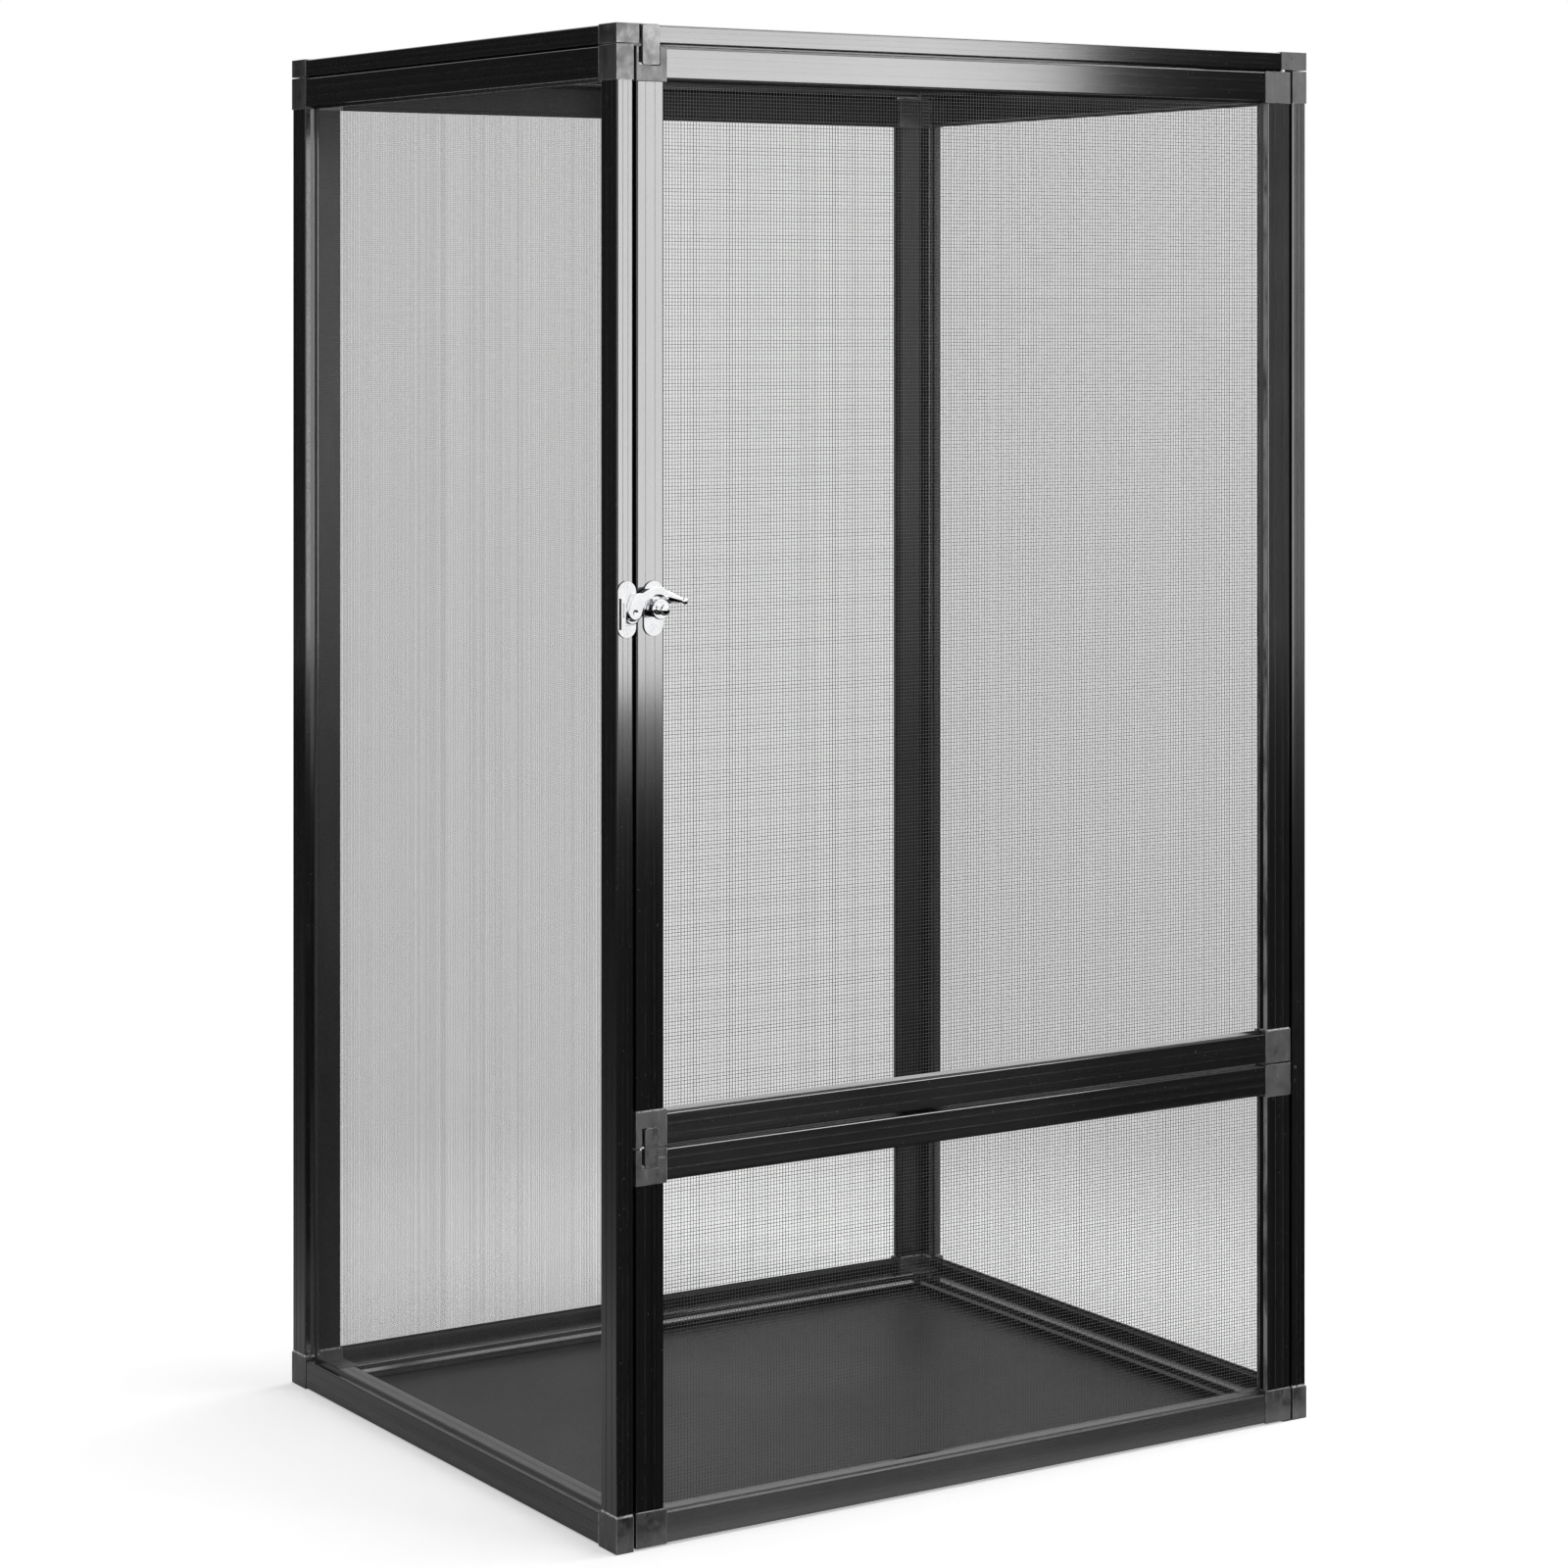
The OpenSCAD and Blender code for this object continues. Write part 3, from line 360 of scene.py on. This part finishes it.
WELD = 1e-6
FLAT_ANGLE = math.radians(0.5)
ROUNDED_ANGLE = math.radians(38.0)
SHARP_ANGLE = math.radians(30.0)
FACE_WEIGHT = 80
CAST_VOXEL = 0.25 * MM
CAST_ROUNDS = 8
WIRE_STRAY = 0.06
WIRE_SECTION = ((-0.5, -0.5), (0.5, -0.5), (0.5, 0.5), (-0.5, 0.5))


def add_piece(name, mesh, node):
    """Links a mesh that stands for a CAD node and rides on that node's body."""
    piece = bpy.data.objects.new(name, mesh)
    scene.collection.objects.link(piece)
    mesh.materials.clear()
    mesh.materials.append(own_finish.get(node, finish[slot_of[node]]))
    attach(piece, nodes[node]["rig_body"])
    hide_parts(node)


def baked(mesh, modifiers):
    """The mesh after a list of (type, settings) modifiers."""
    holder = bpy.data.objects.new("holder", mesh)
    scene.collection.objects.link(holder)
    for kind, settings in modifiers:
        modifier = holder.modifiers.new(kind, kind)
        for key, value in settings.items():
            setattr(modifier, key, value)
    bpy.context.view_layer.update()
    result = bpy.data.meshes.new_from_object(holder.evaluated_get(bpy.context.evaluated_depsgraph_get()))
    bpy.data.objects.remove(holder)
    bpy.data.meshes.remove(mesh)
    return result


def smooth(mesh, angle):
    mesh.polygons.foreach_set("use_smooth", [True] * len(mesh.polygons))
    mesh.set_sharp_from_angle(angle=angle)


def clean_copy(node):
    """A CAD node's mesh with its flat faces whole again."""
    work = bmesh.new()
    work.from_mesh(nodes[node].data)
    bmesh.ops.remove_doubles(work, verts=work.verts, dist=WELD)
    bmesh.ops.dissolve_limit(work, angle_limit=FLAT_ANGLE, verts=work.verts, edges=work.edges)
    mesh = bpy.data.meshes.new(node + "_soft")
    work.to_mesh(mesh)
    work.free()
    return mesh


def soften(node, width, segments):
    """Stands for a node with its edges rounded over."""
    mesh = clean_copy(node)
    smooth(mesh, SHARP_ANGLE)
    mesh = baked(mesh, [
        ("BEVEL", {"width": width, "segments": segments, "limit_method": "ANGLE",
                   "angle_limit": ROUNDED_ANGLE}),
        ("WEIGHTED_NORMAL", {"weight": FACE_WEIGHT, "keep_sharp": True}),
    ])
    add_piece(node + "_soft", mesh, node)


def cast(node):
    """Stands for a node as a casting: its corners flow into each other."""
    mesh = baked(clean_copy(node), [
        ("REMESH", {"mode": "VOXEL", "voxel_size": CAST_VOXEL}),
        ("SMOOTH", {"factor": 0.5, "iterations": CAST_ROUNDS}),
    ])
    smooth(mesh, math.pi)
    add_piece(node + "_cast", mesh, node)


def wire_mesh(node, pitches, share):
    """Stands for a net with fine wires, one layer laid on the other; a wire is a share of the pitch thick."""
    wire = share * sum(pitches) / 2
    low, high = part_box(node)
    size = high - low
    thin = min(range(3), key=lambda a: size[a])
    first, second = [a for a in range(3) if a != thin]
    middle = (low[thin] + high[thin]) / 2
    rng = random.Random(node)
    verts, faces = [], []
    for run, across, layer, pitch in ((first, second, -0.5, pitches[1]), (second, first, 0.5, pitches[0])):
        count = int(size[across] / pitch)
        step = size[across] / count
        for i in range(count):
            centre = low[across] + (i + 0.5 + rng.uniform(-WIRE_STRAY, WIRE_STRAY)) * step
            b = len(verts)
            for end in (low[run], high[run]):
                for da, dt in WIRE_SECTION:
                    point = [0.0, 0.0, 0.0]
                    point[run] = end
                    point[across] = centre + da * wire
                    point[thin] = middle + (layer + dt) * wire
                    verts.append(point)
            faces += [(b + 3, b + 2, b + 1, b), (b + 4, b + 5, b + 6, b + 7)]
            faces += [(b + k, b + (k + 1) % 4, b + 4 + (k + 1) % 4, b + 4 + k) for k in range(4)]
    mesh = bpy.data.meshes.new(node + "_wire")
    mesh.from_pydata(verts, [], faces)
    work = bmesh.new()
    work.from_mesh(mesh)
    bmesh.ops.recalc_face_normals(work, faces=work.faces)
    work.to_mesh(mesh)
    work.free()
    add_piece(node + "_wire", mesh, node)


# Pieces

# Pitches of the wires along the net's first and second axis, and the wire's share
near_net = ((2.4 * MM, 2.4 * MM), 0.11)
far_net = ((0.7 * MM, 0.7 * MM), 0.11)
own_net = {
    "left_mesh": ((0.8 * MM, 1.45 * MM), 0.08),
    "back_mesh": far_net,
    "right_mesh": far_net,
    "top_mesh": ((2.4 * MM, 2.4 * MM), 0.05),
}
# Width and segments of the rounding, for a slot or a node
fine_round = (0.12 * MM, 2)
own_round = {
    "spline_rubber": (0.9 * MM, 3),
    "connector_plastic": (0.5 * MM, 3),
    "catch_plastic": (1.1 * MM, 4),
    "floor_board": (0.4 * MM, 2),
    "latch_keeper": (0.35 * MM, 3),
    "latch_base_plate": (0.35 * MM, 3),
    "latch_knob": (0.6 * MM, 3),
}
y_bars = ("left_rails", "right_rails", "top_side_rails", "floor_side_bars")

for name, obj in nodes.items():
    slot = slot_of[name]
    if slot == "bar_metal":
        axis = "y" if name in y_bars else "z" if "stile" in name else "x"
        obj.data.materials.clear()
        obj.data.materials.append(own_bar_finish.get(name, bar_finish[axis]))
    elif slot == "mesh":
        wire_mesh(name, *own_net.get(name, near_net))
    elif name == "latch_lever":
        cast(name)
    else:
        soften(name, *own_round.get(name, own_round.get(slot, fine_round)))


# Studio

WORLD_LEVEL = 0.4
FLOOR_LIFT = 0.4
FLOOR_GREY = 0.86
FLOOR_Z = -0.0002
FLOOR_REACH = 12.0
SHADOW_REACH = (0.4, 1.1)
CARD_Z = 0.002


def add_stage(name, corners, material):
    mesh = bpy.data.meshes.new(name)
    mesh.from_pydata(corners, [], [(0, 1, 2, 3)])
    mesh.materials.append(material)
    made = bpy.data.objects.new(name, mesh)
    scene.collection.objects.link(made)
    return made


def lying(x0, y0, x1, y1, z):
    return [(x0, y0, z), (x1, y0, z), (x1, y1, z), (x0, y1, z)]


def standing(x0, y0, x1, y1, z0, z1):
    return [(x0, y0, z0), (x1, y1, z0), (x1, y1, z1), (x0, y0, z1)]


def area_light(name, place, aim, size, power):
    data = bpy.data.lights.new(name, "AREA")
    data.shape = "RECTANGLE"
    data.size, data.size_y = size
    data.energy = power
    lamp = bpy.data.objects.new(name, data)
    scene.collection.objects.link(lamp)
    lamp.location = place
    lamp.rotation_euler = (Vector(aim) - Vector(place)).to_track_quat("-Z", "Y").to_euler()
    return lamp


def leave_out(lamp, pieces):
    """Keeps a lamp off some pieces."""
    group = bpy.data.collections.new(lamp.name + "_left_out")
    for piece in pieces:
        group.objects.link(piece)
    for link in group.collection_objects:
        link.light_linking.link_state = "EXCLUDE"
    lamp.light_linking.receiver_collection = group


def card(name, corners, level, fall=False):
    """A card of one grey level that only reflections see, or one whose level falls with distance and is cut
    close to the object as a painted contact shadow.
    """
    t = Tree(name)
    if fall:
        away = t.reach()
        # Painted contact shadow: the level is cut close to the object
        near = t.remap(away, 0.32, 0.55, 0.3, 1.0)
        level = t.times(t.maths("POWER", away, -1.5), t.times(near, level))
    t.put(t.surface, t.white(level))
    made = add_stage(name, corners, t.material)
    made.visible_camera = made.visible_diffuse = made.visible_shadow = made.visible_transmission = False


def white_world():
    """Lights the object at a plain level, and is white where the camera, metal or glass sees it."""
    scene.world = bpy.data.worlds.new("studio")
    scene.world.use_nodes = True
    w = Nodes(scene.world.node_tree)
    background = w.nodes["Background"].inputs
    w.put(background["Color"], grey(1.0))
    w.put(background["Strength"], w.remap(w.maths("MAXIMUM", *w.rays()), 0.0, 1.0, WORLD_LEVEL, 1.0))


def white_floor():
    """A pale floor that keeps the object's shadow and fades to white around it."""
    t = Tree("studio_floor")
    direct, mirrored = t.rays()
    t.set(Base_Color=grey(FLOOR_GREY), Roughness=0.9, Specular_IOR_Level=0.1)
    t.set(Emission_Color=grey(1.0), Emission_Strength=t.times(direct, FLOOR_LIFT))
    fade = t.remap(t.reach(), *SHADOW_REACH, interpolation_type="SMOOTHSTEP")
    shown = t.maths("MAXIMUM", direct, mirrored)
    t.blend(t.times(shown, fade), t.shader.outputs["BSDF"], t.white(1.0))
    corners = lying(-FLOOR_REACH, -FLOOR_REACH, FLOOR_REACH, FLOOR_REACH, FLOOR_Z)
    add_stage("studio_floor", corners, t.material)


key = area_light("key_softbox", (1.52, -3.0, 0.85), (1.52, 0.0, 0.85), (1.25, 1.2), 36.0)
area_light("top_softbox", (1.1, -0.1, 3.1), (0.2, -0.1, 0.4), (1.9, 2.6), 75.0)
area_light("side_fill", (-3.3, -0.75, 1.1), (0.0, -0.2, 0.6), (2.4, 1.7), 20.0)
leave_out(key, [p for p in bpy.data.objects if p.name.startswith("latch_") and p.name not in nodes])

card("left_card", standing(-2.6, -0.6, -2.6, 24.0, 0.0, 4.0), 0.03)
card("front_floor_card", lying(-4.0, -4.0, 4.0, -0.27, CARD_Z), 0.0)
card("left_floor_card", lying(-4.0, -0.27, -0.31, 6.0, CARD_Z), 0.17, fall=True)
card("right_card", standing(2.15, -2.98, 5.0, -2.98, 0.0, 2.6), 0.0)
white_world()
white_floor()

camera_data = bpy.data.cameras.new("camera")
camera = bpy.data.objects.new("camera", camera_data)
scene.collection.objects.link(camera)
scene.camera = camera
camera_data.sensor_width = 36.0
camera_data.lens = 89.8
camera_data.shift_y = -0.3075
camera_data.clip_end = 60.0
camera.location = (-1.6194, -2.5126, 0.8388)
camera.rotation_euler = (math.radians(90.0), 0.0, math.radians(-32.7))
scene.view_settings.view_transform = "Standard"
